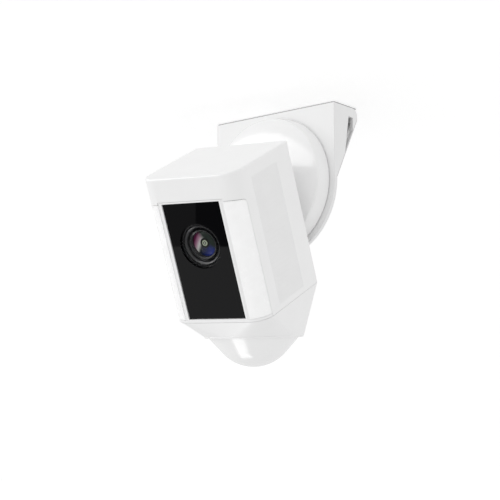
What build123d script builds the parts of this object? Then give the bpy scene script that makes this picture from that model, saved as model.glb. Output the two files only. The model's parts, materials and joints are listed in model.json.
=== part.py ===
from build123d import *
import math
import os

os.makedirs("parts", exist_ok=True)

# A soffit-mounted spotlight security camera, in millimetres and degrees.
# Row frame: origin at the centre of the face that meets the ceiling, +Z up into the
# ceiling, the camera looks towards -Y. Everything hangs below Z = 0.

# ---- driving dimensions: ceiling wedge -------------------------------------------------
WEDGE_WIDTH = 98.2
WEDGE_DEPTH = 30.6
WEDGE_DROP = 56.0          # where the sloping back meets the upright front plate
WEDGE_WALL = 2.4
FRONT_PLATE = 3.0
TOP_WALL = 3.0
REAR_CORNER = 5.5          # rounding of the rear ceiling edge
SEAL = 0.9                 # thickness of the ceiling gasket and of the plate on the sloping back
SCREW_SPACING = 69.85      # standard round-box screw spacing
SCREW_HOLE_R = 2.3
SCREW_SLOT = 9.0
GROUND_PLACE = (-20.0, -6.0)
WIRE_HOLE_R = 7.5
WIRE_HOLE_Y = -3.0

# ---- driving dimensions: round base ----------------------------------------------------
DISC_CENTRE_Z = -50.3
DISC_REAR_R = 45.3
DISC_FRONT_R = 43.7
DISC_WALL_LENGTH = 10.4
DISC_SKIN = 2.0
DISC_CROWN = 4.6           # how far the domed face stands proud of its rim
BASE_PLATE_R = 41.0
BASE_PLATE = 3.0
BASE_SCREW_RING = 33.0

# ---- driving dimensions: ball joint ----------------------------------------------------
BALL_R = 13.0
BALL_PROUD = 6.0           # ball centre in front of the base's rim
NECK_REACH = 17.4          # ball centre to the back of the head
NECK_R = 6.5
SOCKET_R = 14.8
LINER_INNER_R = 13.3
LINER_OUTER_R = 14.5
SOCKET_OUTER_R = 18.0
COLLAR_R = 21.2
LEAD_BORE_R = 4.0
COLLAR_FLUTES = 24
STUD_SCREW_RING = 12.0
STUD_SCREW_ANGLES = (30, 150, 270)

# ---- driving dimensions: camera head ---------------------------------------------------
HEAD_WIDTH = 69.0
HEAD_DEPTH = 68.8
HEAD_HEIGHT = 94.4
HEAD_WALL = 2.2
FRONT_CORNER = 12.0
BACK_CORNER = 1.6
ROOF_EDGE = 1.2
NECK_X = -5.0
NECK_Z = 63.1
BROW_Z = 79.3              # underside of the white brow above the window
BAR_DEPTH = 10.0           # how far each light bar wraps back along the side
BAR_TOP = 77.8             # top of each light bar at the front
BAR_TOP_FALL = 2.2         # how much lower its rear end is
BAR_CORNER = 2.5           # rounding of its upper rear corner
BAR_GAP = 0.2              # clearance between the light bar and the casing
WINDOW_HALF = 21.1
WINDOW_LOW = 2.4
WINDOW_HIGH = 78.1
LIP = 1.3
SIDE_STEP = 1.4            # shallow step between the window's lip and each light bar
SIDE_STEP_DEPTH = 0.5
LENS_Z = 50.0
RIB_COUNT = 25             # fine upright ribs on both sides of the head
RIB_PITCH = 1.25
RIB_GAP = 0.5
RIB_DEPTH = 0.12
RIB_START_Y = 20.0
RIB_Z = (4.0, 86.0)

# ---- driving dimensions: motion sensor cap ---------------------------------------------
CAP_TILT = 21.0            # the sensor faces forwards by this much
CAP_CENTRE_Y = 34.2
CAP_CENTRE_Z = -24.0
CAP_RIM_R = 31.8
RIM_FLAT = 0.6             # straight stretch between the rim's four quarter turns
RIM_LIP = 1.2              # straight lip at the rim before the flare starts
DOME_BASE_R = 28.8
DOME_NOSE_R = 27.0
DOME_CONE_DEG = 48.0
DOME_SKIN = 1.3
DOME_FLANGE = 2.4          # how far the dome reaches up inside the rim

# ---- rest pose of the ball joint -------------------------------------------------------
REST_SWIVEL = -8.0
REST_TILT = 28.7
REST_SPIN = 12.9

# ---- worked out from the driving dimensions --------------------------------------------
WEDGE_FRONT_Y = -WEDGE_DEPTH / 2
WEDGE_REAR_Y = WEDGE_DEPTH / 2
SLOPE_RUN = WEDGE_DEPTH / WEDGE_DROP
TOMB_R = WEDGE_WIDTH / 2
RIM_S = -BALL_PROUD
WALL_S = RIM_S - DISC_WALL_LENGTH
BALL_Y = WEDGE_FRONT_Y + WALL_S
BALL_HEAD_Y = HEAD_DEPTH + NECK_REACH
CORNER_CENTRE_X = HEAD_WIDTH / 2 - FRONT_CORNER
BEZEL_HALF = WINDOW_HALF + LIP + SIDE_STEP + BAR_GAP

# Round base frame: local +Z points out of the wall along -Y, local +Y points up.
BASE = Pos(0, BALL_Y, DISC_CENTRE_Z) * Rot(X=90)
# Head frame: x sideways, y from the window (0) to the back, z up from the cap seam (0).
TURN = Rot(Y=REST_SWIVEL) * Rot(X=REST_TILT) * Rot(Y=REST_SPIN)
HEAD = Pos(0, BALL_Y, DISC_CENTRE_Z) * TURN * Pos(-NECK_X, -BALL_HEAD_Y, -NECK_Z)
# Neck frame inside the head frame: local +Z runs from the ball centre into the head.
NECK = Pos(NECK_X, BALL_HEAD_Y, NECK_Z) * Rot(X=90)
# Sensor frame inside the head frame: local +Z runs out along the dome's axis.
SENSOR = Pos(0, CAP_CENTRE_Y, CAP_CENTRE_Z) * Rot(X=180 - CAP_TILT)
# The same plane seen from inside: local +Z runs up into the cap.
RIM_FRAME = Pos(0, CAP_CENTRE_Y, CAP_CENTRE_Z) * Rot(X=-CAP_TILT)


def block(x, y, z):
    """Box between the given low and high coordinates."""
    size = (x[1] - x[0], y[1] - y[0], z[1] - z[0])
    return Pos((x[0] + x[1]) / 2, (y[0] + y[1]) / 2, (z[0] + z[1]) / 2) * Box(*size)


def rod(radius, low, high):
    """Cylinder on local Z between two heights."""
    return Pos(0, 0, (low + high) / 2) * Cylinder(radius, high - low)


def tube(outer, inner, low, high):
    return rod(outer, low, high) - rod(inner, low - 1, high + 1)


def along_y(radius, x, z, low, high):
    """Cylinder along Y between two depths."""
    return Pos(x, (low + high) / 2, z) * Rot(X=90) * Cylinder(radius, high - low)


def across(points, low, high):
    """Prism with a (y, z) outline, between two x positions."""
    face = make_face(Plane.YZ * Polyline(*points, close=True))
    return Pos(low, 0, 0) * extrude(face, amount=high - low, dir=(1, 0, 0))


def turned(points):
    """Solid of revolution about local Z from (radius, height) points."""
    face = make_face(Plane.XZ * Polyline(*points, close=True))
    return revolve(face, axis=Axis.Z)


def shell_band(outer, inner, first_deg, last_deg):
    """Spherical shell between two polar angles, measured from local +Z."""
    def at(radius, angle):
        turn = math.radians(angle)
        return (radius * math.sin(turn), radius * math.cos(turn))
    middle = (first_deg + last_deg) / 2
    wires = [
        ThreePointArc(at(outer, first_deg), at(outer, middle), at(outer, last_deg)),
        Line(at(outer, last_deg), at(inner, last_deg)),
        ThreePointArc(at(inner, last_deg), at(inner, middle), at(inner, first_deg)),
        Line(at(inner, first_deg), at(outer, first_deg)),
    ]
    return revolve(Plane.XZ * make_face(wires), axis=Axis.Z)


def bevelled(solid, axis, size, last=True):
    """Chamfer the outline of the face furthest along an axis."""
    face = solid.faces().sort_by(axis)[-1 if last else 0]
    return chamfer(face.outer_wire().edges(), size)


def pan_screw(radius, length, head_r, head):
    """Screw with its head's top at local z = 0 and its shank going down -Z."""
    shape = rod(radius, -head - length, -head) + rod(head_r, -head, 0)
    slot = block((-head_r * 0.6, head_r * 0.6), (-0.4, 0.4), (-head * 0.5, 1))
    return shape - slot - Rot(Z=90) * slot


def group(pieces):
    """Several separate solids kept under one name."""
    return Compound(children=list(pieces))


# ---- ceiling wedge ---------------------------------------------------------------------
def slope_y(z, inset=0.0):
    """Y of the sloping back at a height, moved inwards square to the slope."""
    return WEDGE_REAR_Y + z * SLOPE_RUN - inset * math.hypot(1, SLOPE_RUN)


def tombstone(inset, low, high):
    """Front outline of the wedge: square above, round below, between two depths."""
    radius = TOMB_R - inset
    outline = Pos(0, DISC_CENTRE_Z / 2) * Rectangle(2 * radius, -DISC_CENTRE_Z)
    outline += Pos(0, DISC_CENTRE_Z) * Circle(radius)
    solid = extrude(Plane.XZ * outline, amount=high - low)
    return Pos(0, high, 0) * solid


def wedge_profile(inset, top):
    """(y, z) outline of the triangular body, with its back face moved inwards."""
    low_z = (WEDGE_FRONT_Y - slope_y(0, inset)) / SLOPE_RUN
    return [(WEDGE_FRONT_Y, top), (slope_y(top, inset), top), (WEDGE_FRONT_Y, low_z)]


def rounded_wedge(inset, top, low_x, high_x):
    face = make_face(Plane.YZ * Polyline(*wedge_profile(inset, top), close=True))
    corner = face.vertices().sort_by(Axis.Y)[-1]
    face = fillet(corner, REAR_CORNER - inset)
    return Pos(low_x, 0, 0) * extrude(face, amount=high_x - low_x, dir=(1, 0, 0))


def make_wedge_housing():
    body = rounded_wedge(SEAL, -SEAL, -TOMB_R, TOMB_R)
    body += block((-TOMB_R, TOMB_R), (WEDGE_FRONT_Y, WEDGE_FRONT_Y + FRONT_PLATE), (-110, -SEAL))
    body &= tombstone(0, WEDGE_FRONT_Y, WEDGE_REAR_Y)
    inner_x = TOMB_R - WEDGE_WALL
    cavity = across([
        (WEDGE_FRONT_Y + FRONT_PLATE, -SEAL - TOP_WALL),
        (6.0, -SEAL - TOP_WALL),
        (6.0, -10.0),
        (WEDGE_REAR_Y + 5, -10.0),
        (WEDGE_REAR_Y + 5, -110.0),
        (WEDGE_FRONT_Y + FRONT_PLATE, -110.0),
    ], -inner_x, inner_x)
    body -= cavity & tombstone(WEDGE_WALL, WEDGE_FRONT_Y, WEDGE_REAR_Y + 5)
    for side in (-1, 1):
        slot = SlotCenterToCenter(SCREW_SLOT - 2 * SCREW_HOLE_R, 2 * SCREW_HOLE_R)
        body -= Pos(side * SCREW_SPACING / 2, 0, -10) * extrude(slot, amount=12)
    body -= Pos(0, WIRE_HOLE_Y, -10) * extrude(Circle(WIRE_HOLE_R), amount=12)
    body -= Pos(*GROUND_PLACE, -SEAL - TOP_WALL) * Cylinder(1.65, 5)
    # cable notch in both cheeks, open to the sloping back
    notch = across([(0.9, -7.0), (5.6, -7.2), (5.6, -19.0), (-3.0, -36.0), (-3.8, -34.6)],
                   -TOMB_R - 1, TOMB_R + 1)
    body -= notch
    lead_hole = Pos(0, WEDGE_FRONT_Y + 4, LEAD_EXIT_Z) * Rot(X=90)
    body -= lead_hole * extrude(SlotCenterToCenter(6, 7), amount=8)
    for x, z in base_screw_places():
        body -= along_y(1.5, x, z, WEDGE_FRONT_Y - 1, WEDGE_FRONT_Y + 2.4)
    return body


def make_wedge_back_cover():
    """Plate over the whole sloping back, with a step that plugs the cavity."""
    sheet = rounded_wedge(0, -SEAL, -TOMB_R + 0.3, TOMB_R - 0.3)
    sheet -= rounded_wedge(SEAL, -SEAL, -TOMB_R - 1, TOMB_R + 1)
    plate_back = WEDGE_FRONT_Y + FRONT_PLATE
    sheet &= block((-60, 60), (plate_back + 0.1, 60), (-WEDGE_DROP, -SEAL - 0.7))
    inner_x = TOMB_R - WEDGE_WALL - 0.2
    top, low = -10.2, -35.0
    plug = across([(slope_y(top, SEAL), top), (slope_y(top, SEAL + 1.4), top),
                   (slope_y(low, SEAL + 1.4), low), (slope_y(low, SEAL), low)],
                  -inner_x, inner_x)
    return sheet + plug


def make_soffit_gasket():
    outer = block((-TOMB_R + 0.5, TOMB_R - 0.5),
                  (WEDGE_FRONT_Y + 0.5, WEDGE_REAR_Y - REAR_CORNER), (-SEAL, 0))
    outer -= Pos(0, WIRE_HOLE_Y, 0) * rod(WIRE_HOLE_R + 1.0, -2, 1)
    for side in (-1, 1):
        slot = SlotCenterToCenter(SCREW_SLOT - 2 * SCREW_HOLE_R, 2 * SCREW_HOLE_R)
        outer -= Pos(side * SCREW_SPACING / 2, 0, -3) * extrude(slot, amount=5)
    return outer


LEAD_X = (14.0, 19.5, 25.0)
LEAD_Y = -8.0
LEAD_EXIT_Z = -39.3        # where the leads pass through the front plate


def make_terminal_block():
    block_low = -SEAL - TOP_WALL - 9.0
    body = block((10.5, 28.5), (-11.5, 0.0), (block_low, -SEAL - TOP_WALL))
    for x in LEAD_X:
        body -= Pos(x, LEAD_Y, block_low) * Cylinder(1.9, 4)
    return body


def make_supply_leads():
    leads = []
    start_z = -SEAL - TOP_WALL - 9.0 + 2
    for index, x in enumerate(LEAD_X):
        inner = (index - 1) * 2.5
        path = FilletPolyline((x, LEAD_Y, start_z), (x, LEAD_Y, -20), (inner, -9.8, LEAD_EXIT_Z),
                              (inner, -18.0, LEAD_EXIT_Z), radius=4.5)
        start = Plane(origin=path @ 0, z_dir=path % 0)
        leads.append(sweep(start * Circle(1.1), path=path))
    return group(leads)


def make_ground_screw():
    place = Pos(*GROUND_PLACE, -SEAL - TOP_WALL - 1.4) * Rot(X=180)
    return place * pan_screw(1.6, 2.4, 3.4, 1.4)


# ---- round base and socket -------------------------------------------------------------
def base_screw_places():
    reach = BASE_SCREW_RING * math.sqrt(0.5)
    return [(sx * reach, DISC_CENTRE_Z + sz * reach) for sx in (-1, 1) for sz in (-1, 1)]


def make_canopy_gasket():
    return BASE * tube(44.7, 42.6, WALL_S, WALL_S + 0.7)


def make_canopy_cover():
    rear = WALL_S + 0.7
    hole = COLLAR_R + 0.6
    crown = RIM_S + DISC_CROWN

    def domed(rear_r, front_r, edge, depth):
        """Solid drum under a domed face that lies a given depth below the crown."""
        outline = [
            Line((0, rear), (rear_r, rear)),
            Line((rear_r, rear), (front_r, RIM_S - edge - depth)),
            Line((front_r, RIM_S - edge - depth), (front_r - edge, RIM_S - depth)),
            ThreePointArc((front_r - edge, RIM_S - depth),
                          (33.0, RIM_S + DISC_CROWN * 0.68 - depth), (hole - 1, crown - depth)),
            Line((hole - 1, crown - depth), (0, crown - depth)),
            Line((0, crown - depth), (0, rear)),
        ]
        return revolve(Plane.XZ * make_face(outline), axis=Axis.Z)
    outer = domed(DISC_REAR_R, DISC_FRONT_R, 0.8, 0)
    inner = domed(DISC_REAR_R - DISC_SKIN, DISC_FRONT_R - DISC_SKIN, 0.8, DISC_SKIN)
    return BASE * (outer - inner - rod(hole, -30, 5))


def make_socket_base():
    body = rod(BASE_PLATE_R, WALL_S, WALL_S + BASE_PLATE) + rod(SOCKET_OUTER_R, WALL_S, 0)
    for angle in range(0, 360, 45):
        web = block((SOCKET_OUTER_R - 1, BASE_PLATE_R - 12), (-1, 1), (WALL_S, WALL_S + 6))
        body += Rot(Z=angle) * web
    body -= Sphere(SOCKET_R)
    exit_slot = Pos(0, LEAD_EXIT_Z - DISC_CENTRE_Z, WALL_S - 1)
    body -= exit_slot * extrude(SlotCenterToCenter(6, 7), amount=8)
    for x, z in base_screw_places():
        body -= Pos(x, z - DISC_CENTRE_Z, WALL_S) * Cylinder(1.6, 20)
    return BASE * body


def make_base_screws():
    front = WALL_S + BASE_PLATE + 1.6
    screw = pan_screw(1.45, BASE_PLATE + 2.0, 3.0, 1.6)
    places = [Pos(x, z - DISC_CENTRE_Z, front) for x, z in base_screw_places()]
    return BASE * group([place * screw for place in places])


def make_socket_collar():
    body = rod(COLLAR_R, RIM_S, 7.4) - rod(SOCKET_OUTER_R + 0.06, RIM_S - 1, 0.1)
    body = chamfer(body.faces().sort_by(Axis.Z)[-1].outer_wire().edges(), 1.6)
    body -= Sphere(SOCKET_R)
    for index in range(COLLAR_FLUTES):
        flute = Pos(COLLAR_R + 0.7, 0, 4.4) * Cylinder(1.3, 8)
        body -= Rot(Z=index * 360 / COLLAR_FLUTES) * flute
    return BASE * body


def make_front_bearing_ring():
    return BASE * shell_band(LINER_OUTER_R, LINER_INNER_R, 64, 86)


def make_rear_friction_washer():
    return HEAD * NECK * shell_band(LINER_OUTER_R, LINER_INNER_R, 118, 140)


# ---- camera head: ball stud and casings ------------------------------------------------
WALL_IN = NECK_REACH + HEAD_WALL
FLANGE = WALL_IN + 0.6
FLANGE_THICK = 3.0


def make_ball_stud():
    body = Sphere(BALL_R) + rod(NECK_R, 9, FLANGE + 1)
    body += Pos(0, 0, NECK_REACH - 2) * Cone(NECK_R, 9.0, 4)
    body += rod(9.0, NECK_REACH, FLANGE + 1)
    body += rod(15.0, FLANGE, FLANGE + FLANGE_THICK)
    body -= rod(LEAD_BORE_R, -BALL_R - 1, FLANGE + FLANGE_THICK + 1)
    body -= Pos(0, 0, -BALL_R + 2.5) * Cone(8.0, LEAD_BORE_R, 6)
    for angle in STUD_SCREW_ANGLES:
        body -= Rot(Z=angle) * Pos(STUD_SCREW_RING, 0, FLANGE) * Cylinder(1.5, 12)
    return HEAD * NECK * body


def make_stud_screws():
    screw = pan_screw(1.4, FLANGE_THICK + 0.6 + 1.6, 2.6, 1.4)
    top = FLANGE + FLANGE_THICK + 1.4
    places = [Rot(Z=angle) * Pos(STUD_SCREW_RING, 0, top) for angle in STUD_SCREW_ANGLES]
    return HEAD * NECK * group([place * screw for place in places])


def make_neck_gasket():
    ring = tube(14.2, 9.3, WALL_IN, FLANGE)
    for angle in STUD_SCREW_ANGLES:
        ring -= Rot(Z=angle) * Pos(STUD_SCREW_RING, 0, WALL_IN) * Cylinder(1.6, 4)
    return HEAD * NECK * ring


def head_outline(inset=0.0):
    """Plan of the head: large front corner radii, small back ones."""
    face = Pos(0, HEAD_DEPTH / 2) * Rectangle(HEAD_WIDTH - 2 * inset, HEAD_DEPTH - 2 * inset)
    face = fillet(face.vertices().group_by(Axis.Y)[0], FRONT_CORNER - inset)
    return fillet(face.vertices().group_by(Axis.Y)[-1], max(BACK_CORNER - inset, 0.6))


def ring_wall(outer, inner, low, high):
    """Upright band of the head's plan between two insets."""
    band = head_outline(outer) - head_outline(inner)
    return Pos(0, 0, low) * extrude(band, amount=high - low)


def bar_opening(gap):
    """Side view of the light bars' opening, right across the head, less a gap all round."""
    rear = BAR_DEPTH - gap
    outline = Polyline((-1, -1), (rear, -1), (rear, BAR_TOP - BAR_TOP_FALL - gap),
                       (0, BAR_TOP - gap), (-1, BAR_TOP - gap), close=True)
    face = make_face(Plane.YZ * outline)
    upper_rear = face.vertices().group_by(Axis.Y)[-1].sort_by(Axis.Z)[-1]
    face = fillet(upper_rear, BAR_CORNER - gap)
    return Pos(-40, 0, 0) * extrude(face, amount=80, dir=(1, 0, 0))


POST_Z = ((4.5, 11.5), (82.0, 89.0))
REAR_POST = (25.5, 32.5)
REAR_FACE = HEAD_DEPTH - HEAD_WALL
GASKET = 1.2
SPEAKER_X, SPEAKER_Z = 14.0, 22.0
MIC_X, MIC_Z = -2.0, 10.0


def rear_screw_places():
    middle_x = sum(REAR_POST) / 2 - 1.6
    return [(side * middle_x, sum(z) / 2) for side in (-1, 1) for z in POST_Z]


def make_head_shell():
    body = extrude(head_outline(), amount=HEAD_HEIGHT)
    body = fillet(body.faces().sort_by(Axis.Z)[-1].edges(), ROOF_EDGE)
    body -= Pos(0, 0, -1) * extrude(head_outline(HEAD_WALL), amount=HEAD_HEIGHT - 2.4 + 1)
    body -= block((-BEZEL_HALF, BEZEL_HALF), (-1, BAR_DEPTH), (-1, BROW_Z))
    body -= bar_opening(0)
    body -= block((-40, 40), (-1, 80), (-1, 0.15))
    body -= block((-30.5, 30.5), (REAR_FACE - 1, HEAD_DEPTH + 1), (2.5, 90))
    for side in (-1, 1):
        for z in POST_Z:
            x = sorted((side * REAR_POST[0], side * REAR_POST[1]))
            body += block(x, (56, REAR_FACE - GASKET), z)
    for x, z in rear_screw_places():
        body -= along_y(1.2, x, z, 57, 67)
    grooves = []
    for index in range(RIB_COUNT):
        y = RIB_START_Y + index * RIB_PITCH
        for side in (-1, 1):
            x = side * HEAD_WIDTH / 2
            grooves.append(block((x - RIB_DEPTH, x + RIB_DEPTH), (y, y + RIB_GAP), RIB_Z))
    body -= grooves
    return HEAD * body


def make_rear_cover():
    body = block((-30.3, 30.3), (REAR_FACE, HEAD_DEPTH), (2.7, 89.8))
    body -= along_y(9.3, NECK_X, NECK_Z, 60, 70)
    for x, z in rear_screw_places():
        body -= along_y(1.5, x, z, 60, 70)
        body -= along_y(2.6, x, z, HEAD_DEPTH - 1.2, 70)
    for angle in STUD_SCREW_ANGLES:
        turn = math.radians(angle)
        x = NECK_X + STUD_SCREW_RING * math.cos(turn)
        z = NECK_Z + STUD_SCREW_RING * math.sin(turn)
        body -= along_y(1.45, x, z, REAR_FACE - 1, REAR_FACE + 1.7)
    for row in range(5):
        for column in range(7):
            x, z = SPEAKER_X + (column - 3) * 2.6, SPEAKER_Z + (row - 2) * 3.4
            body -= along_y(0.7, x, z, 60, 70)
    body -= along_y(0.7, MIC_X, MIC_Z, 60, 70)
    body -= along_y(BUTTON_R + 0.25, BUTTON_X, BUTTON_Z, 60, 70)
    return HEAD * body


def make_rear_gasket():
    frame = block((-32.2, 32.2), (REAR_FACE - GASKET, REAR_FACE), (1.0, 91.5))
    frame -= block((-23.5, 23.5), (60, 70), (5, 88))
    frame -= block((-29.5, 29.5), (60, 70), (12, 81.5))
    frame &= extrude(head_outline(HEAD_WALL + 0.05), amount=HEAD_HEIGHT)
    for x, z in rear_screw_places():
        frame -= along_y(1.5, x, z, 60, 70)
    return HEAD * frame


def make_rear_screws():
    screw = pan_screw(1.15, 7.0, 2.4, 1.1)
    top = HEAD_DEPTH - 0.1
    turn = Rot(X=-90)
    return HEAD * group([Pos(x, top, z) * turn * screw for x, z in rear_screw_places()])


# ---- camera head: window, lens and light bars ------------------------------------------
LENS = Pos(0, 0, LENS_Z) * Rot(X=-90)     # local +Z runs back into the head
EMITTERS = [(side * 9.5, z) for side in (-1, 1) for z in (13.0, 24.0)]


def make_front_bezel():
    lip = WINDOW_HALF + LIP
    side = BEZEL_HALF - BAR_GAP
    body = block((-side, side), (SIDE_STEP_DEPTH, 4.2), (0.15, BROW_Z - 0.2))
    raised = block((-lip, lip), (0, 1), (0.15, BROW_Z - 0.2))
    body += chamfer(raised.faces().sort_by(Axis.Y)[0].edges().filter_by(Axis.Z), 0.3)
    ledge = ring_wall(0, 3.0, 0.15, 1.8)
    body += ledge & block((-40, 40), (-1, BAR_DEPTH - BAR_GAP), (0, 3))
    body -= block((-WINDOW_HALF, WINDOW_HALF), (-1, 2.4), (WINDOW_LOW, WINDOW_HIGH))
    body -= block((-19, 19), (-1, 5), (4.6, 75.9))
    return HEAD * body


def make_window_glass():
    half = WINDOW_HALF - 0.1
    body = block((-half, half), (0.5, 2.0), (WINDOW_LOW + 0.1, WINDOW_HIGH - 0.1))
    return HEAD * bevelled(body, Axis.Y, 0.45, last=False)


def make_window_gasket():
    half = WINDOW_HALF - 0.1
    body = block((-half, half), (2.0, 2.4), (WINDOW_LOW + 0.1, WINDOW_HIGH - 0.1))
    return HEAD * (body - block((-19, 19), (1, 3), (4.6, 75.9)))


def make_lens_mask():
    body = block((-18.9, 18.9), (2.3, 3.7), (4.7, 75.8)) - LENS * rod(14.6, 0, 9)
    body += LENS * turned([(15.6, 2.3), (15.6, 3.7), (11.2, 8.0), (9.9, 8.0), (9.9, 6.6),
                           (14.3, 3.2), (14.3, 2.3)])
    for x, z in EMITTERS:
        body -= along_y(2.8, x, z, 1, 5)
    body -= along_y(1.6, 0, 69.5, 1, 5)
    return HEAD * body


def make_lens_barrel():
    return HEAD * LENS * turned([(8.2, 5.2), (8.9, 4.4), (9.75, 4.9), (9.75, 20), (8.0, 20),
                                 (8.0, 10.2), (6.6, 10.2), (6.6, 9.2), (8.2, 9.2)])


def make_lens_front():
    cap_radius = (8.1 ** 2 + 1.7 ** 2) / (2 * 1.7)
    dome = Pos(0, 0, 4.3 + cap_radius) * Sphere(cap_radius)
    return HEAD * LENS * (rod(8.15, 4, 9.1) & dome)


def make_lens_rear():
    lens = rod(7.95, 11.0, 14.0) & Pos(0, 0, 11.0 + 20) * Sphere(20)
    return HEAD * LENS * lens


def make_lens_mount():
    body = block((-12, 12), (14, 21.2), (LENS_Z - 12, LENS_Z + 12))
    body -= LENS * rod(9.8, 10, 30)
    return HEAD * body


def make_camera_board():
    return HEAD * block((-17, 17), (21.2, 22.4), (LENS_Z - 17, LENS_Z + 17))


def make_image_sensor():
    return HEAD * block((-4.6, 4.6), (20.1, 21.2), (LENS_Z - 3.4, LENS_Z + 3.4))


def make_ir_board():
    board = block((-15, 15), (5.4, 6.4), (8, 30)) - along_y(2, 0, 19, 5, 7)
    return HEAD * board


def make_ir_emitters():
    pieces = []
    for x, z in EMITTERS:
        body = along_y(2.5, x, z, 3.9, 5.4) + Pos(x, 4.4, z) * Sphere(1.9)
        pieces.append(body & block((-40, 40), (2.4, 5.4), (0, 60)))
    return HEAD * group(pieces)


def make_light_sensor():
    return HEAD * (along_y(1.5, 0, 69.5, 2.8, 5.0) + block((-3, 3), (5.0, 6.2), (66.8, 72.2)))


def make_led_bar(side):
    bar = ring_wall(0, 2.0, 1.95, BROW_Z) & bar_opening(BAR_GAP)
    x = sorted((side * (BEZEL_HALF - BAR_GAP + 0.1), side * 40))
    return HEAD * (bar & block(x, (-1, 12), (0, 90)))


def corner_frame(side):
    """Frame at a front corner: local +Y faces out through the light bar."""
    return Pos(side * CORNER_CENTRE_X, FRONT_CORNER, 0) * Rot(Z=180 + side * 45)


def make_led_board(side):
    return HEAD * corner_frame(side) * block((-5.2, 5.2), (3.0, 4.0), (5, 76))


def make_led_chips():
    chips = []
    for side in (-1, 1):
        for index in range(8):
            z = 9.5 + index * 8.9
            chips.append(corner_frame(side) * block((-1.6, 1.6), (4.0, 4.8), (z - 1.6, z + 1.6)))
    return HEAD * group(chips)


def make_heat_sink():
    body = block((-22.5, 22.5), (9.8, 11.8), (6, 75))
    for side in (-1, 1):
        body += corner_frame(side) * block((-5.0, 5.0), (1.0, 3.0), (6, 75))
        for index in range(3):
            x = side * (15.5 + index * 3.2)
            body += block((x - 0.6, x + 0.6), (11.8, 19.0), (6, 30))
    body -= LENS * rod(12.5, 8, 14)
    return HEAD * body


# ---- camera head: electronics ----------------------------------------------------------
def make_main_board():
    board = block((-26, 26), (27.0, 28.6), (12, 86))
    for x in (-23, 23):
        for z in (15, 83):
            board -= along_y(1.5, x, z, 26, 30)
    return HEAD * board


def make_main_chips():
    front = [((-9, 9), (24.4, 27.0), (40, 58)), ((12, 22), (25.6, 27.0), (30, 42)),
             ((-22, -12), (25.8, 27.0), (62, 72)), ((-6, 8), (25.2, 27.0), (72, 82))]
    rear = [((-20, -6), (28.6, 31.0), (18, 34)), ((4, 18), (28.6, 30.2), (44, 58)),
            ((-18, -10), (28.6, 33.6), (74, 84))]
    return HEAD * group([block(*size) for size in front + rear])


def make_power_board():
    return HEAD * block((-24, 24), (49.0, 50.6), (12, 46))


def make_power_components():
    core = block((-7, 9), (35.0, 49.0), (15, 33))
    coils = [along_y(4.0, -15, z, 37.0, 49.0) for z in (19, 29)]
    caps = [along_y(3.2, 16, z, 40.0, 49.0) for z in (18, 26, 34)]
    choke = block((-17, -5), (41.0, 49.0), (36, 44))
    return HEAD * group([core, choke] + coils + caps)


def make_head_leads():
    leads = []
    for x in (NECK_X - 1.6, NECK_X + 1.6):
        start_y = BALL_HEAD_Y - FLANGE - FLANGE_THICK + 2
        path = FilletPolyline((x, start_y, NECK_Z), (x, 54.5, NECK_Z), (x, 54.5, 40),
                              (x, 50.65, 40), radius=1.8)
        start = Plane(origin=path @ 0, z_dir=path % 0)
        leads.append(sweep(start * Circle(1.0), path=path))
    return HEAD * group(leads)


def make_antenna():
    return HEAD * block((-18, 18), (30, 37), (91.2, 92.0))


def make_speaker():
    cone = along_y(12.5, SPEAKER_X, SPEAKER_Z, 60.5, REAR_FACE)
    return HEAD * (cone + along_y(8, SPEAKER_X, SPEAKER_Z, 55, 61))


def make_siren():
    return HEAD * along_y(8.5, -17, 24, 60.0, REAR_FACE)


def make_microphone():
    return HEAD * along_y(2.5, MIC_X, MIC_Z, 62.5, REAR_FACE)


# ---- camera head: setup button on the rear cover ---------------------------------------
BUTTON_X = 19.0
BUTTON_Z = 76.0
BUTTON_R = 4.2
BUTTON_TRAVEL = 1.5


def make_setup_button():
    body = along_y(BUTTON_R, BUTTON_X, BUTTON_Z, 65.4, HEAD_DEPTH + 0.7)
    body += along_y(BUTTON_R + 1.2, BUTTON_X, BUTTON_Z, REAR_FACE - 1.3, REAR_FACE - 0.1)
    body += along_y(1.4, BUTTON_X, BUTTON_Z, 62.0, 65.4)
    return HEAD * body


def make_button_switch():
    top = 62.0 - BUTTON_TRAVEL - 0.1
    body = block((BUTTON_X - 3, BUTTON_X + 3), (57, top - 0.8), (BUTTON_Z - 3, BUTTON_Z + 3))
    body += along_y(1.6, BUTTON_X, BUTTON_Z, 57, top)
    body += block((BUTTON_X - 6, BUTTON_X + 6), (55.4, 57), (BUTTON_Z - 5, BUTTON_Z + 5))
    return HEAD * body


# ---- camera head: lower cap and motion sensor ------------------------------------------
def cap_solid(inset, rise):
    """Ruled loft from the tilted round rim up to the head's plan."""
    radius = CAP_RIM_R - inset
    rim = fillet(Rectangle(2 * radius, 2 * radius).vertices(), radius - RIM_FLAT)
    rim = RIM_FRAME * Pos(0, 0, rise) * rim
    return loft([rim, head_outline(inset)], ruled=True)


def make_bottom_cap():
    body = cap_solid(0, RIM_LIP) - cap_solid(2.4, RIM_LIP)
    hole = DOME_BASE_R + 0.1
    round_over = 0.9
    lip = [
        Line((hole, -RIM_LIP - 0.4), (CAP_RIM_R, -RIM_LIP - 0.4)),
        Line((CAP_RIM_R, -RIM_LIP - 0.4), (CAP_RIM_R, -round_over)),
        RadiusArc((CAP_RIM_R, -round_over), (CAP_RIM_R - round_over, 0), -round_over),
        Line((CAP_RIM_R - round_over, 0), (hole, 0)),
        Line((hole, 0), (hole, -RIM_LIP - 0.4)),
    ]
    body += SENSOR * revolve(Plane.XZ * make_face(lip), axis=Axis.Z)
    body -= SENSOR * rod(hole, -8, 2)
    return HEAD * body


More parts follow.
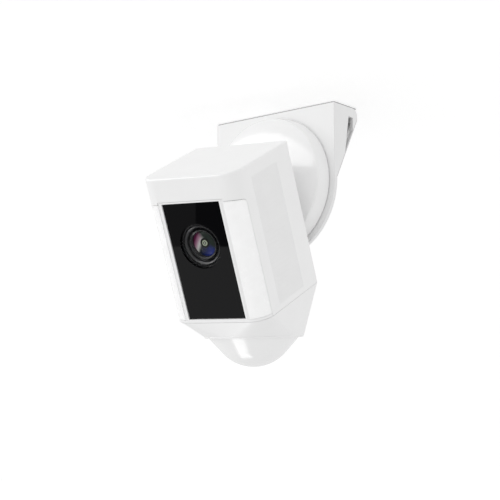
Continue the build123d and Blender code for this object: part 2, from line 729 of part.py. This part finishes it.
def dome_profile(skin):
    """Half section of the sensor dome: a straight skirt running into a round nose."""
    turn = math.radians(DOME_CONE_DEG)
    centre = (DOME_BASE_R * math.sin(turn) - DOME_NOSE_R) / math.cos(turn)
    nose = DOME_NOSE_R - skin
    base = DOME_BASE_R - skin / math.sin(turn)
    touch = (nose * math.sin(turn), centre + nose * math.cos(turn))
    middle = (nose * math.sin(turn / 2), centre + nose * math.cos(turn / 2))
    return [
        Line((0, -DOME_FLANGE), (base, -DOME_FLANGE)),
        Line((base, -DOME_FLANGE), (base, 0)),
        Line((base, 0), touch),
        ThreePointArc(touch, middle, (0, centre + nose)),
        Line((0, centre + nose), (0, -DOME_FLANGE)),
    ]


def make_pir_dome():
    outer = revolve(Plane.XZ * make_face(dome_profile(0)), axis=Axis.Z)
    inner = revolve(Plane.XZ * make_face(dome_profile(DOME_SKIN)), axis=Axis.Z)
    return HEAD * SENSOR * (outer - inner - rod(DOME_BASE_R - 1.9, -4, -1))


def make_pir_board():
    return HEAD * SENSOR * rod(20.0, -8.0, -6.8)


def make_pir_sensors():
    cans = [Rot(Z=angle) * Pos(10, 0, 0) * (rod(4.6, -6.8, -2.6) + rod(5.2, -6.8, -6.2))
            for angle in (30, 150, 270)]
    return HEAD * SENSOR * group(cans)


PARTS = {
    "soffit_gasket": make_soffit_gasket,
    "wedge_housing": make_wedge_housing,
    "wedge_back_cover": make_wedge_back_cover,
    "terminal_block": make_terminal_block,
    "supply_leads": make_supply_leads,
    "ground_screw": make_ground_screw,
    "canopy_gasket": make_canopy_gasket,
    "canopy_cover": make_canopy_cover,
    "socket_base": make_socket_base,
    "base_screws": make_base_screws,
    "socket_collar": make_socket_collar,
    "front_bearing_ring": make_front_bearing_ring,
    "rear_friction_washer": make_rear_friction_washer,
    "ball_stud": make_ball_stud,
    "stud_screws": make_stud_screws,
    "neck_gasket": make_neck_gasket,
    "head_shell": make_head_shell,
    "rear_cover": make_rear_cover,
    "rear_gasket": make_rear_gasket,
    "rear_screws": make_rear_screws,
    "front_bezel": make_front_bezel,
    "window_glass": make_window_glass,
    "window_gasket": make_window_gasket,
    "lens_mask": make_lens_mask,
    "lens_barrel": make_lens_barrel,
    "lens_front": make_lens_front,
    "lens_rear": make_lens_rear,
    "lens_mount": make_lens_mount,
    "camera_board": make_camera_board,
    "image_sensor": make_image_sensor,
    "ir_board": make_ir_board,
    "ir_emitters": make_ir_emitters,
    "light_sensor": make_light_sensor,
    "led_bar_left": lambda: make_led_bar(-1),
    "led_bar_right": lambda: make_led_bar(1),
    "led_board_left": lambda: make_led_board(-1),
    "led_board_right": lambda: make_led_board(1),
    "led_chips": make_led_chips,
    "heat_sink": make_heat_sink,
    "main_board": make_main_board,
    "main_chips": make_main_chips,
    "power_board": make_power_board,
    "power_components": make_power_components,
    "head_leads": make_head_leads,
    "antenna": make_antenna,
    "speaker": make_speaker,
    "siren": make_siren,
    "microphone": make_microphone,
    "setup_button": make_setup_button,
    "button_switch": make_button_switch,
    "bottom_cap": make_bottom_cap,
    "pir_dome": make_pir_dome,
    "pir_board": make_pir_board,
    "pir_sensors": make_pir_sensors,
}

for name, make in PARTS.items():
    export_step(make(), f"parts/{name}.step")
    print(name)
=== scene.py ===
import json
import math

import bmesh
import bpy
from mathutils import Matrix, Vector


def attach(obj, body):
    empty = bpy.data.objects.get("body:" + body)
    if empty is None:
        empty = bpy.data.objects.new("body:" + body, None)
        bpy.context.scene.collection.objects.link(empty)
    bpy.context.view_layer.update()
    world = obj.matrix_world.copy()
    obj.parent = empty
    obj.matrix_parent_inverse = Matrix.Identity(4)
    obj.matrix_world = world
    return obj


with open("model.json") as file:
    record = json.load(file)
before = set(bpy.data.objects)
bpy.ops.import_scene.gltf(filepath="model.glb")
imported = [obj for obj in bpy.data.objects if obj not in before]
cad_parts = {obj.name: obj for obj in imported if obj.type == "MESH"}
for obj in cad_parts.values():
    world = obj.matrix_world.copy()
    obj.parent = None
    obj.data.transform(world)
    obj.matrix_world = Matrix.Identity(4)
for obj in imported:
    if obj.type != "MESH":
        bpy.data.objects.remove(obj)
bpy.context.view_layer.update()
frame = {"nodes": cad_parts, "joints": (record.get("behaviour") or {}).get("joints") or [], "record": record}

# Lengths below are in metres, in the frame's own axes: +Z up into the ceiling, the camera
# head faces -Y. Lengths named _MM are millimetres, as on a drawing.
MM = 0.001
NODES = frame["nodes"]
JOINTS = {joint["name"]: joint for joint in frame["joints"]}

# ---- the head's own frame: x sideways, y from the window back, z up from the cap seam ----
REST_SWIVEL = -8.0
REST_TILT = 28.7
REST_SPIN = 12.9
NECK_AT_MM = (-5.0, 86.2, 63.1)          # ball centre in the head's frame
BALL = Vector(JOINTS["head_spin"]["pos_m"])


def turn(axis, degrees):
    return Matrix.Rotation(math.radians(degrees), 4, axis)


def shift(x, y, z):
    """Move by millimetres."""
    return Matrix.Translation(Vector((x, y, z)) * MM)


HEAD = (Matrix.Translation(BALL) @ turn("Y", REST_SWIVEL) @ turn("X", REST_TILT)
        @ turn("Y", REST_SPIN) @ shift(*[-value for value in NECK_AT_MM]))

# ---- camera ------------------------------------------------------------------------------
CAMERA_PLACE = (0.6347, -0.8263, -0.2739)
CAMERA_AZIMUTH = 38.93
CAMERA_RISE = 10.0
CAMERA_LENS_MM = 115.2
CAMERA_SENSOR_MM = 36.0
CAMERA_NEAR = 0.01
CAMERA_FAR = 50.0


def make_camera():
    data = bpy.data.cameras.new("camera")
    data.lens = CAMERA_LENS_MM
    data.sensor_width = CAMERA_SENSOR_MM
    data.clip_start = CAMERA_NEAR
    data.clip_end = CAMERA_FAR
    camera = bpy.data.objects.new("camera", data)
    bpy.context.scene.collection.objects.link(camera)
    side, rise = math.radians(CAMERA_AZIMUTH), math.radians(CAMERA_RISE)
    look = Vector((-math.sin(side) * math.cos(rise), math.cos(side) * math.cos(rise),
                   math.sin(rise)))
    camera.location = CAMERA_PLACE
    camera.rotation_mode = "QUATERNION"
    camera.rotation_quaternion = look.to_track_quat("-Z", "Y")
    bpy.context.scene.camera = camera


# ---- materials ---------------------------------------------------------------------------
LENS_AT_MM = (0.0, 0.0, 50.0)            # lens axis on the window's plane, in the head's frame
CLEAR_DISC_MM = 14.5                     # radius of the clear disc in the window's black print
PUPIL_AT_MM = (1.0, 0.8)                 # where the painted pupil rings sit beside the lens axis
PUPIL_MM = 3.3                           # radius of the painted dark ring of shade round the pupil
# painted rings of the lens interior, from the middle of the pupil out: a painted highlight in the middle,
# light rings of painted reflection, dark rings of painted shade
PUPIL_GLINT_AND_SHADE_RINGS = (
    (0.08, (0.34, 0.36, 0.32, 1.0)),
    (0.18, (0.008, 0.010, 0.008, 1.0)),
    (0.28, (0.008, 0.010, 0.008, 1.0)),
    (0.38, (0.26, 0.29, 0.22, 1.0)),
    (0.52, (0.16, 0.18, 0.14, 1.0)),
    (0.62, (0.002, 0.002, 0.002, 1.0)),
    (0.98, (0.001, 0.001, 0.001, 1.0)),
)
# painted reflection across the lens glass, magenta and white to blue, from its upper left to its lower right
LENS_REFLECTION_PAINT = (
    (0.04, (0.05, 0.006, 0.025, 1.0)),
    (0.18, (0.16, 0.08, 0.12, 1.0)),
    (0.32, (0.27, 0.27, 0.26, 1.0)),
    (0.44, (0.010, 0.012, 0.012, 1.0)),
    (0.66, (0.004, 0.007, 0.035, 1.0)),
    (0.88, (0.007, 0.013, 0.10, 1.0)),
)
LENS_DARK_REFLECTION_PAINT = (0.004, 0.009, 0.006, 1.0)   # painted dark reflection on its upper right
LENS_PAINT_GLOW = 0.9                       # the painted reflection and pupil rings glow, though the lens is no lamp
PRINT_EDGE_MM = 0.3                      # width of the soft edge of the print and of the painted pupil
FOAM_CELL_MM = 0.5
TRACK_PITCH_MM = 5.0
BEVEL_SAMPLES = 6
# sockets of a colour Mix node, which share their names with its other kinds' sockets
MIX_SHARE, MIX_FIRST, MIX_SECOND, MIX_COLOR = 0, 6, 7, 2


class Paint:
    """A Principled material with short helpers for its procedural nodes."""

    def __init__(self, name, color, roughness, **sockets):
        self.material = bpy.data.materials.new(name)
        self.material.use_nodes = True
        self.tree = self.material.node_tree
        self.bsdf = self.tree.nodes["Principled BSDF"]
        self.bsdf.inputs["Base Color"].default_value = (*color, 1.0)
        self.bsdf.inputs["Roughness"].default_value = roughness
        for socket, value in sockets.items():
            self.bsdf.inputs[socket.replace("_", " ")].default_value = value
        self.place = self.node("ShaderNodeTexCoord").outputs["Object"]
        self.color = color

    def node(self, kind, **values):
        made = self.tree.nodes.new(kind)
        for name, value in values.items():
            if name in made.inputs:
                made.inputs[name].default_value = value
            else:
                setattr(made, name, value)
        return made

    def link(self, source, target):
        self.tree.links.new(source, target)

    def noise(self, size_mm, detail=3.0, roughness=0.55):
        made = self.node("ShaderNodeTexNoise")
        made.inputs["Scale"].default_value = 1.0 / (size_mm * MM)
        made.inputs["Detail"].default_value = detail
        made.inputs["Roughness"].default_value = roughness
        self.link(self.place, made.inputs["Vector"])
        return made.outputs["Fac"]

    def spread(self, source, low, high, start=0.3, end=0.7):
        """Stretch a texture's middle range between two values."""
        made = self.node("ShaderNodeMapRange")
        for name, value in (("From Min", start), ("From Max", end),
                            ("To Min", low), ("To Max", high)):
            made.inputs[name].default_value = value
        self.link(source, made.inputs["Value"])
        return made.outputs["Result"]

    def tint(self, source, low, high):
        """Vary the base colour's brightness with a texture."""
        made = self.node("ShaderNodeMix", data_type="RGBA")
        for socket, share in ((made.inputs[MIX_FIRST], low), (made.inputs[MIX_SECOND], high)):
            socket.default_value = (*[min(1.0, part * share) for part in self.color], 1.0)
        self.link(source, made.inputs[MIX_SHARE])
        self.link(made.outputs[MIX_COLOR], self.bsdf.inputs["Base Color"])

    def ramp(self, source, stops):
        """Colours along a 0-1 value, from (position, colour) stops."""
        made = self.node("ShaderNodeValToRGB")
        elements = made.color_ramp.elements
        elements[0].position, elements[0].color = stops[0]
        elements[1].position, elements[1].color = stops[-1]
        for position, color in stops[1:-1]:
            elements.new(position).color = color
        self.link(source, made.inputs["Fac"])
        return made.outputs["Color"]

    def bump(self, source, depth_mm, edge_mm=0.0):
        made = self.node("ShaderNodeBump")
        made.inputs["Strength"].default_value = 1.0
        made.inputs["Distance"].default_value = depth_mm * MM
        self.link(source, made.inputs["Height"])
        if edge_mm:
            edge = self.node("ShaderNodeBevel", samples=BEVEL_SAMPLES)
            edge.inputs["Radius"].default_value = edge_mm * MM
            self.link(edge.outputs["Normal"], made.inputs["Normal"])
        self.link(made.outputs["Normal"], self.bsdf.inputs["Normal"])


def moulded_plastic(name, color, roughness, grain_mm, grain_depth_mm, edge_mm=0.35, ior=1.5):
    """Injection-moulded plastic: spark-eroded grain, cloudy gloss, faint flow shading."""
    paint = Paint(name, color, roughness, IOR=ior)
    grain = paint.noise(grain_mm, 4.0, 0.6)
    cloud = paint.noise(14.0, 2.0)
    paint.tint(paint.spread(cloud, 0.0, 1.0), 0.985, 1.0)
    gloss = paint.noise(3.0, 3.0)
    paint.link(paint.spread(gloss, roughness - 0.04, roughness + 0.05),
               paint.bsdf.inputs["Roughness"])
    paint.bump(grain, grain_depth_mm, edge_mm)
    return paint.material


def sheet_metal(name, color, roughness, brush_mm):
    paint = Paint(name, color, roughness, Metallic=1.0)
    stretch = paint.node("ShaderNodeMapping")
    stretch.inputs["Scale"].default_value = (1.0, 1.0, 0.06)
    paint.link(paint.place, stretch.inputs["Vector"])
    grain = paint.noise(brush_mm, 4.0)
    paint.link(stretch.outputs["Vector"], grain.node.inputs["Vector"])
    paint.tint(paint.spread(grain, 0.0, 1.0), 0.82, 1.05)
    paint.link(paint.spread(grain, roughness - 0.08, roughness + 0.12),
               paint.bsdf.inputs["Roughness"])
    paint.bump(grain, 0.02, 0.12)
    return paint.material


def foam_rubber(name, color):
    paint = Paint(name, color, 0.85)
    cells = paint.node("ShaderNodeTexVoronoi", feature="F1")
    cells.inputs["Scale"].default_value = 1.0 / (FOAM_CELL_MM * MM)
    paint.link(paint.place, cells.inputs["Vector"])
    paint.tint(paint.spread(cells.outputs["Distance"], 0.0, 1.0, 0.1, 0.8), 0.7, 1.25)
    paint.bump(cells.outputs["Distance"], 0.06)
    return paint.material


def circuit_board(name):
    """Green solder mask over a faint grid of tracks."""
    paint = Paint(name, (0.012, 0.13, 0.055), 0.32, Coat_Weight=0.4)
    tracks = paint.node("ShaderNodeTexBrick")
    tracks.inputs["Scale"].default_value = 1.0 / (TRACK_PITCH_MM * MM)
    tracks.inputs["Mortar Size"].default_value = 0.06
    tracks.inputs["Color1"].default_value = (0.010, 0.12, 0.05, 1.0)
    tracks.inputs["Color2"].default_value = (0.014, 0.15, 0.06, 1.0)
    tracks.inputs["Mortar"].default_value = (0.03, 0.24, 0.10, 1.0)
    turned = paint.node("ShaderNodeMapping")
    turned.inputs["Rotation"].default_value = (math.radians(90 + REST_TILT), 0.0, 0.0)
    paint.link(paint.place, turned.inputs["Vector"])
    paint.link(turned.outputs["Vector"], tracks.inputs["Vector"])
    paint.link(tracks.outputs["Color"], paint.bsdf.inputs["Base Color"])
    paint.bump(tracks.outputs["Fac"], 0.02)
    return paint.material


def opal_diffuser_painted_glow(name):
    """Milky light guide: subsurface light inside and a faint painted glow that keeps it bright where shaded,
    satin skin with a fine haze.
    """
    paint = Paint(name, (0.97, 0.97, 0.97), 0.24, IOR=1.5, Subsurface_Weight=0.35,
                  Subsurface_Scale=0.003, Subsurface_Radius=(1.0, 1.0, 1.0),
                  Coat_Weight=0.25, Coat_Roughness=0.12,
                  Emission_Color=(1.0, 1.0, 1.0, 1.0))
    haze = paint.noise(2.5, 3.0)
    paint.link(paint.spread(haze, 0.20, 0.29), paint.bsdf.inputs["Roughness"])
    # painted glow, 0.05 to 0.08, so the bars stay bright where they are shaded
    paint.link(paint.spread(paint.noise(9.0, 2.0), 0.05, 0.08),
               paint.bsdf.inputs["Emission Strength"])
    paint.bump(haze, 0.01, 0.3)
    return paint.material


def lens_distance(paint, x_mm=0.0, z_mm=0.0):
    """How far each point lies from the lens axis, or from a line beside it, and which way."""
    centre = HEAD @ (Vector((LENS_AT_MM[0] + x_mm, LENS_AT_MM[1], LENS_AT_MM[2] + z_mm)) * MM)
    away = paint.node("ShaderNodeVectorMath", operation="SUBTRACT")
    away.inputs[1].default_value = tuple(centre)
    paint.link(paint.place, away.inputs[0])
    moment = paint.node("ShaderNodeVectorMath", operation="CROSS_PRODUCT")
    moment.inputs[1].default_value = tuple(HEAD.to_3x3() @ Vector((0.0, 1.0, 0.0)))
    paint.link(away.outputs["Vector"], moment.inputs[0])
    length = paint.node("ShaderNodeVectorMath", operation="LENGTH")
    paint.link(moment.outputs["Vector"], length.inputs[0])
    return away.outputs["Vector"], length.outputs["Value"]


def printed_window(name):
    """Polished window, printed black on its back apart from a clear disc over the lens."""
    paint = Paint(name, (0.003, 0.003, 0.0035), 0.012, IOR=1.27)
    length = lens_distance(paint)[1]
    alpha = paint.spread(length, 0.10, 0.985, (CLEAR_DISC_MM - PRINT_EDGE_MM) * MM,
                         CLEAR_DISC_MM * MM)
    paint.link(alpha, paint.bsdf.inputs["Alpha"])
    smear = paint.noise(6.0, 3.0)
    paint.link(paint.spread(smear, 0.006, 0.02), paint.bsdf.inputs["Roughness"])
    paint.bump(paint.noise(25.0, 1.0), 0.002, 0.15)
    return paint.material


def lens_painted_reflection(name):
    """Lens glass with painted reflection, magenta and white to blue, and painted pupil rings of highlight
    and shade; all of it glows.
    """
    paint = Paint(name, (0.02, 0.015, 0.05), 0.04, IOR=1.38)
    away, length = lens_distance(paint, *PUPIL_AT_MM)

    def along(x, z, low_mm, high_mm):
        """0 to 1 across the lens in a direction of the head's frame."""
        made = paint.node("ShaderNodeVectorMath", operation="DOT_PRODUCT")
        made.inputs[1].default_value = tuple(HEAD.to_3x3() @ Vector((x, 0.0, z)))
        paint.link(away, made.inputs[0])
        return paint.spread(made.outputs["Value"], 0.0, 1.0, low_mm * MM, high_mm * MM)

    def blend(share, first, second):
        made = paint.node("ShaderNodeMix", data_type="RGBA")
        paint.link(share, made.inputs[MIX_SHARE])
        paint.link(first, made.inputs[MIX_FIRST])
        if isinstance(second, tuple):
            made.inputs[MIX_SECOND].default_value = second
        else:
            paint.link(second, made.inputs[MIX_SECOND])
        return made.outputs[MIX_COLOR]

    # painted reflection across the glass, darkened to a painted dark reflection on its upper right
    lens_reflection = paint.ramp(along(0.80, -0.60, -8.0, 8.0), LENS_REFLECTION_PAINT)
    lens_reflection = blend(along(0.75, 0.66, -0.5, 2.5), lens_reflection, LENS_DARK_REFLECTION_PAINT)
    # painted pupil rings: a painted highlight and light rings of painted reflection, dark rings of painted
    # shade
    pupil = paint.ramp(paint.spread(length, 0.0, 1.0, 0.0, PUPIL_MM * MM), PUPIL_GLINT_AND_SHADE_RINGS)
    rim = paint.spread(length, 0.0, 1.0, (PUPIL_MM - PRINT_EDGE_MM) * MM, PUPIL_MM * MM)
    color = blend(rim, pupil, lens_reflection)
    paint.link(color, paint.bsdf.inputs["Base Color"])
    # the painted reflection and rings also glow, though the lens is no lamp
    paint.link(color, paint.bsdf.inputs["Emission Color"])
    paint.bsdf.inputs["Emission Strength"].default_value = LENS_PAINT_GLOW
    return paint.material


def wire_insulation(name, color):
    paint = Paint(name, color, 0.45)
    paint.tint(paint.spread(paint.noise(1.5, 3.0), 0.0, 1.0), 0.85, 1.05)
    paint.bump(paint.noise(0.4, 2.0), 0.02)
    return paint.material


MATERIALS = {
    "bracket_white": lambda: moulded_plastic("bracket_plastic", (0.85, 0.85, 0.85), 0.55, 0.28,
                                             0.012, ior=1.35),
    "base_white": lambda: moulded_plastic("base_plastic", (0.90, 0.90, 0.90), 0.15, 0.60, 0.003),
    "head_white": lambda: moulded_plastic("head_plastic", (0.90, 0.90, 0.90), 0.36, 0.18, 0.005, 0.08),
    "grey_plastic": lambda: moulded_plastic("grey_plastic", (0.70, 0.70, 0.70), 0.50, 0.25, 0.012),
    "black_plastic": lambda: moulded_plastic("black_plastic", (0.008, 0.008, 0.009), 0.42, 0.20, 0.012),
    "terminal": lambda: moulded_plastic("terminal_plastic", (0.80, 0.78, 0.70), 0.35, 0.30, 0.010),
    "bearing": lambda: moulded_plastic("acetal", (0.72, 0.72, 0.70), 0.33, 0.30, 0.008),
    "chip": lambda: moulded_plastic("chip_resin", (0.03, 0.03, 0.033), 0.55, 0.12, 0.012),
    "component": lambda: moulded_plastic("component_plastic", (0.06, 0.06, 0.07), 0.45, 0.20, 0.010),
    "emitter": lambda: moulded_plastic("emitter_resin", (0.012, 0.006, 0.008), 0.10, 0.60, 0.003),
    "led": lambda: moulded_plastic("led_phosphor", (0.92, 0.78, 0.30), 0.40, 0.15, 0.010),
    "antenna": lambda: moulded_plastic("flex_print", (0.55, 0.30, 0.06), 0.30, 0.60, 0.004),
    "sensor_lens": lambda: moulded_plastic("sensor_film", (0.92, 0.92, 0.92), 0.16, 1.2, 0.002),
    "cast_metal": lambda: moulded_plastic("powder_coat", (0.84, 0.84, 0.83), 0.36, 0.35, 0.030),
    # the seal's own mid grey, which also stands in for the painted contact shade along its joint with the
    # ceiling
    "seal": lambda: foam_rubber("seal_foam_joint_shade", (0.48, 0.48, 0.485)),
    "lead_insulation": lambda: wire_insulation("wire_insulation", (0.55, 0.04, 0.03)),
    "brass": lambda: sheet_metal("brass", (0.78, 0.60, 0.30), 0.30, 0.20),
    "steel": lambda: sheet_metal("zinc_steel", (0.62, 0.62, 0.64), 0.32, 0.20),
    "aluminium": lambda: sheet_metal("cast_aluminium", (0.72, 0.73, 0.75), 0.40, 0.30),
    "board": lambda: circuit_board("circuit_board"),
    "diffuser": lambda: opal_diffuser_painted_glow("opal_diffuser_painted_glow"),
    "window": lambda: printed_window("printed_window"),
    "lens_glass": lambda: lens_painted_reflection("lens_painted_reflection"),
}


def paint_nodes():
    """Give every CAD node the material of its slot in the record."""
    made = {slot: make() for slot, make in MATERIALS.items()}
    for part in frame["record"]["subparts"]:
        node = NODES[part["node"]]
        node.data.materials.clear()
        node.data.materials.append(made[part["material_slot"]])


# ---- lens details ------------------------------------------------------------------------
SPIN_STEPS = 96


def bezier_corner(before, corner, after, radius, steps=4):
    """Points that round one corner of a (radius, depth) profile."""
    start = corner + (before - corner).normalized() * radius
    end = corner + (after - corner).normalized() * radius
    made = []
    for step in range(steps + 1):
        t = step / steps
        made.append(start * (1 - t) ** 2 + corner * 2 * t * (1 - t) + end * t * t)
    return made


def rounded_profile(points, radius):
    """A closed profile with every corner rounded."""
    corners = [Vector(point) for point in points]
    made = []
    for index, corner in enumerate(corners):
        before, after = corners[index - 1], corners[(index + 1) % len(corners)]
        made += bezier_corner(before, corner, after, radius)
    return made


def ring_piece(name, points_mm, round_mm, material):
    """Ring turned about the lens axis from a closed (radius, depth) profile."""
    profile = rounded_profile(points_mm, round_mm)
    mesh = bmesh.new()
    rings = []
    for step in range(SPIN_STEPS):
        angle = 2 * math.pi * step / SPIN_STEPS
        rings.append([mesh.verts.new(HEAD @ (Vector((radius * math.cos(angle) + LENS_AT_MM[0],
                                                     depth,
                                                     radius * math.sin(angle) + LENS_AT_MM[2]))
                                             * MM))
                      for radius, depth in profile])
    count = len(profile)
    for step in range(SPIN_STEPS):
        here, there = rings[step], rings[(step + 1) % SPIN_STEPS]
        for index in range(count):
            after = (index + 1) % count
            mesh.faces.new((here[index], here[after], there[after], there[index]))
    bmesh.ops.recalc_face_normals(mesh, faces=mesh.faces)
    finish_piece(name, mesh, material, "head")


def finish_piece(name, mesh, material, body):
    """Turn a bmesh into a smooth-shaded piece that rides on a body."""
    data = bpy.data.meshes.new(name)
    mesh.to_mesh(data)
    mesh.free()
    data.materials.append(material)
    data.shade_smooth()
    piece = bpy.data.objects.new(name, data)
    bpy.context.scene.collection.objects.link(piece)
    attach(piece, body)


def make_lens_details():
    trim = moulded_plastic("lens_trim_black", (0.012, 0.012, 0.013), 0.24, 0.20, 0.004, 0.1)
    inner = moulded_plastic("lens_ring_grey", (0.035, 0.035, 0.037), 0.32, 0.20, 0.006, 0.1)
    ring_piece("lens_trim_outer", [(14.9, 2.32), (14.7, 2.02), (13.3, 2.02), (13.0, 2.8),
                                   (13.6, 3.0), (14.3, 2.34)], 0.12, trim)
    ring_piece("lens_trim_step", [(12.7, 3.0), (12.4, 2.6), (11.3, 3.4), (10.9, 4.6),
                                  (11.2, 5.2), (12.9, 3.6)], 0.15, inner)
    ring_piece("lens_retainer", [(9.7, 3.9), (9.4, 3.5), (8.5, 3.9), (8.25, 4.3),
                                 (8.9, 4.35), (9.7, 4.75)], 0.1, trim)


# ---- stage and light ---------------------------------------------------------------------
FLOOR_Z = -0.42
# at 12 m, level views left the backdrop out
STAGE_HALF = 6.0                         # half the room's width: the room is 12 m across


def stage_corners(height):
    return [(-STAGE_HALF, -STAGE_HALF, height), (STAGE_HALF, -STAGE_HALF, height),
            (STAGE_HALF, STAGE_HALF, height), (-STAGE_HALF, STAGE_HALF, height)]


def stage_piece(name, corners, faces, material):
    """Part of the room that is only looked at: it neither shades nor lights the object."""
    mesh = bpy.data.meshes.new(name)
    mesh.from_pydata(corners, [], faces)
    mesh.materials.append(material)
    piece = bpy.data.objects.new(name, mesh)
    piece.visible_shadow = False
    piece.visible_glossy = False
    piece.visible_diffuse = False
    bpy.context.scene.collection.objects.link(piece)


def make_room():
    stage_piece("floor", stage_corners(FLOOR_Z), [(0, 1, 2, 3)],
                plaster("floor_plaster", FLOOR_GLOW))
    stage_piece("ceiling", stage_corners(0.0), [(3, 2, 1, 0)],
                plaster("ceiling_plaster", CEILING_GLOW))
    # upright sides facing inwards, from the floor's four corners to the ceiling's
    sides = [(4 + k, 4 + (k + 1) % 4, (k + 1) % 4, k) for k in range(4)]
    stage_piece("backdrop", stage_corners(FLOOR_Z) + stage_corners(0.0), sides,
                plaster("backdrop_plaster", FLOOR_GLOW))


def plaster(name, glow):
    """Pale matt surface; seen from behind it isn't there, so that it hides nothing."""
    paint = Paint(name, (0.96, 0.96, 0.96), 0.9, Specular_IOR_Level=0.0,
                  Emission_Color=(1.0, 1.0, 1.0, 1.0), Emission_Strength=glow)
    paint.bump(paint.noise(1.2, 3.0), 0.05)
    output = paint.tree.nodes["Material Output"]
    clear = paint.node("ShaderNodeBsdfTransparent")
    mix = paint.node("ShaderNodeMixShader")
    side = paint.node("ShaderNodeNewGeometry")
    paint.link(side.outputs["Backfacing"], mix.inputs[0])
    paint.link(paint.bsdf.outputs["BSDF"], mix.inputs[1])
    paint.link(clear.outputs["BSDF"], mix.inputs[2])
    paint.link(mix.outputs["Shader"], output.inputs["Surface"])
    return paint.material


def area_light(name, place, aim, size, power, only_gloss):
    data = bpy.data.lights.new(name, "AREA")
    data.shape = "RECTANGLE"
    data.size, data.size_y = size
    data.energy = power
    light = bpy.data.objects.new(name, data)
    light.location = place
    light.rotation_mode = "QUATERNION"
    light.rotation_quaternion = (Vector(aim) - Vector(place)).to_track_quat("-Z", "Y")
    light.visible_camera = False
    light.visible_diffuse = not only_gloss
    bpy.context.scene.collection.objects.link(light)


def make_world():
    """Even white studio light, a little weaker from below than from above."""
    world = bpy.data.worlds.new("studio")
    world.use_nodes = True
    nodes, links = world.node_tree.nodes, world.node_tree.links
    place = nodes.new("ShaderNodeTexCoord")
    split = nodes.new("ShaderNodeSeparateXYZ")
    links.new(place.outputs["Generated"], split.inputs[0])
    rise = nodes.new("ShaderNodeMapRange")
    for name, value in (("From Min", -1.0), ("From Max", 1.0),
                        ("To Min", WORLD_BELOW), ("To Max", WORLD_ABOVE)):
        rise.inputs[name].default_value = value
    links.new(split.outputs["Z"], rise.inputs["Value"])
    background = nodes["Background"]
    background.inputs["Color"].default_value = (1.0, 1.0, 1.0, 1.0)
    links.new(rise.outputs["Result"], background.inputs["Strength"])
    bpy.context.scene.world = world


WORLD_ABOVE = 0.95
WORLD_BELOW = 0.80
FLOOR_GLOW = 0.40
CEILING_GLOW = 0.22
TARGET = Vector((0.0, -0.09, -0.09))
KEY_TOWARD = (-0.61, -0.77, 0.17)
# name, direction from the object, distance, size, radiance, and whether it only adds gloss
SOFTBOXES = (
    ("key", KEY_TOWARD, 1.5, (2.0, 0.9), 0.80, False),
    ("sheen", (-0.59, -0.75, 0.42), 1.5, (2.4, 0.75), 3.2, True),
    ("under", (-0.28, 0.0, -0.96), 0.30, (0.17, 0.09), 4.0, True),
)
# Dark cards that the window mirrors above the lens: name, side of the lens, glow
CARDS = (("card_right", 1, 0.02), ("card_left", -1, 0.30))
CARD_DISTANCE = 1.0
CARD_SIZE = 0.30
CARD_EDGE_MM = (-3.5, -1.0, 50.0)        # the cards' shared corner, as mirrored, on the window


def softbox(name, toward, distance, size, radiance, only_gloss):
    """Area light of a given radiance, in a direction from the object."""
    place = TARGET + Vector(toward).normalized() * distance
    power = radiance * math.pi * size[0] * size[1]
    area_light(name, place, TARGET, size, power, only_gloss)


def mirrored(direction, normal):
    return direction - normal * 2 * direction.dot(normal)


def make_card(name, side, glow):
    """Card that only reflections see, placed where the window mirrors it beside the lens."""
    normal = (HEAD.to_3x3() @ Vector((0.0, -1.0, 0.0))).normalized()
    corner = HEAD @ (Vector(CARD_EDGE_MM) * MM)
    camera = bpy.context.scene.camera
    axes = camera.rotation_quaternion.to_matrix()
    ray = mirrored((corner - camera.location).normalized(), normal)
    right = mirrored(axes @ Vector((1.0, 0.0, 0.0)), normal)
    up = mirrored(axes @ Vector((0.0, 1.0, 0.0)), normal)
    start = corner + ray * CARD_DISTANCE
    across, high = right * side * CARD_SIZE, up * CARD_SIZE
    mesh = bpy.data.meshes.new(name)
    mesh.from_pydata([start, start + across, start + across + high, start + high], [],
                     [(0, 1, 2, 3)])
    paint = Paint(name, (0.0, 0.0, 0.0), 1.0, Specular_IOR_Level=0.0,
                  Emission_Color=(1.0, 1.0, 1.0, 1.0), Emission_Strength=glow)
    mesh.materials.append(paint.material)
    card = bpy.data.objects.new(name, mesh)
    card.visible_camera = False
    card.visible_diffuse = False
    card.visible_shadow = False
    bpy.context.scene.collection.objects.link(card)


def make_stage():
    make_room()
    bpy.context.scene.view_settings.view_transform = "Standard"
    make_world()
    for values in SOFTBOXES:
        softbox(*values)
    for values in CARDS:
        make_card(*values)


make_camera()
paint_nodes()
make_lens_details()
make_stage()
